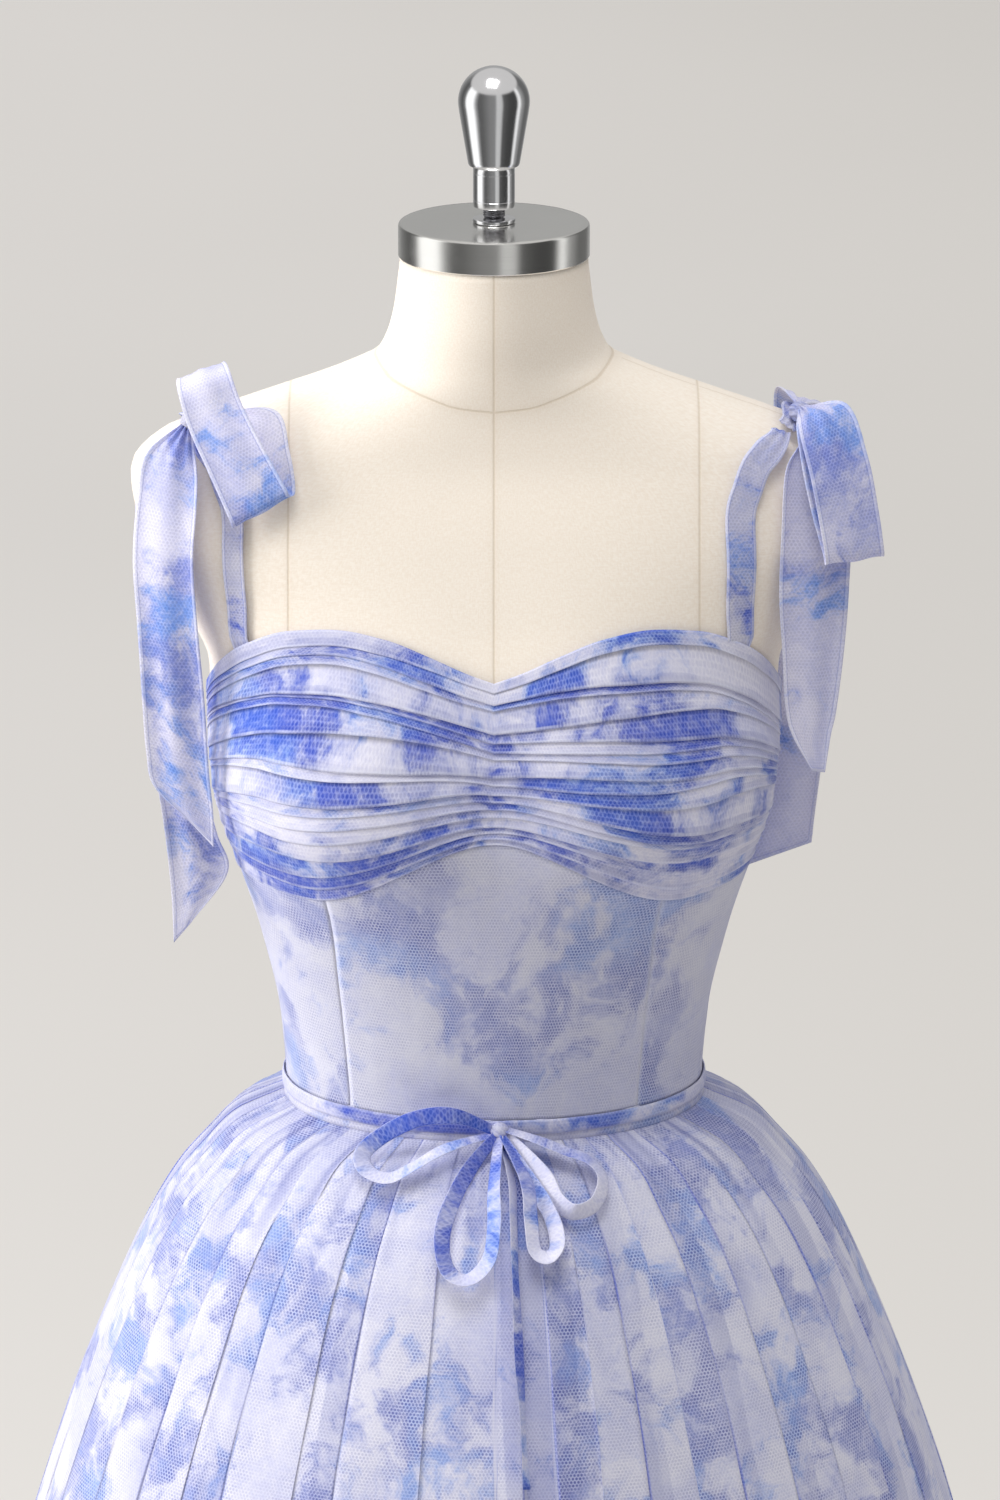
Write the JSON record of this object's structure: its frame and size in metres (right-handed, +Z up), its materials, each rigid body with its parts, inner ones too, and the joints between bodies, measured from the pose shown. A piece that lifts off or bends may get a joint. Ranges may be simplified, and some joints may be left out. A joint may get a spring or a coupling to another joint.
{
  "type": "homecoming dress on dress form",
  "caption": "Short pleated party dress in cloud-printed tulle with shoulder bows, a tucked bust and a tied waist, standing on a limbless dress form with a round base.",
  "frame": {"origin": "centre of the stand's underside, on the floor under the pole", "axes": "+Z up along the pole, -Y to the dress's front, +X to the wearer's left"},
  "size_m": [0.62, 0.5513, 1.6069],
  "materials": {
    "printed_tulle": "soft sheer net over a plain under layer, with a cloudy print in white, lavender and blue",
    "form_cloth": "cream linen, stretched smooth",
    "brushed_steel": "brushed round",
    "polished_chrome": "polished",
    "zip_metal": "lilac lacquer"
  },
  "bodies": {
    "dress_and_form": {"bust_drape": "printed_tulle", "midriff_front": "printed_tulle", "side_front_left": "printed_tulle", "side_front_right": "printed_tulle", "bodice_back_left": "printed_tulle", "bodice_back_right": "printed_tulle", "waistband": "printed_tulle", "waist_tie": "printed_tulle", "waist_tie_knot": "printed_tulle", "waist_loop_left": "printed_tulle", "waist_loop_right": "printed_tulle", "waist_hanging_loop_left": "printed_tulle", "waist_hanging_loop_right": "printed_tulle", "waist_tie_tail": "printed_tulle", "strap_front_left": "printed_tulle", "strap_front_right": "printed_tulle", "strap_back_left": "printed_tulle", "strap_back_right": "printed_tulle", "shoulder_knot_left": "printed_tulle", "shoulder_knot_right": "printed_tulle", "bow_left_standing_loop": "printed_tulle", "bow_left_hanging_loop": "printed_tulle", "bow_left_front_tail": "printed_tulle", "bow_left_back_tail": "printed_tulle", "bow_right_hanging_loop": "printed_tulle", "bow_right_front_tail": "printed_tulle", "bow_right_back_tail": "printed_tulle", "skirt_front": "printed_tulle", "skirt_back_left": "printed_tulle", "skirt_back_right": "printed_tulle", "zip_slider": "zip_metal", "form_torso": "form_cloth", "neck_cap": "brushed_steel", "neck_washer": "polished_chrome", "neck_stud": "polished_chrome", "stand_pole": "polished_chrome", "stand_base": "brushed_steel"},
    "knob": {"neck_knob": "polished_chrome"},
    "pull": {"zip_pull": "zip_metal"}
  },
  "joints": [
    {"name": "knob_turn", "type": "hinge", "parent": "dress_and_form", "child": "knob", "pos_m": [0, -0.01, 1.55], "axis": [0, 0, 1], "continuous": true},
    {"name": "zip_pull_swing", "type": "hinge", "parent": "dress_and_form", "child": "pull", "pos_m": [0, 0.1066, 1.232], "axis": [1, 0, 0], "range_deg": [0, 160]}
  ]
}
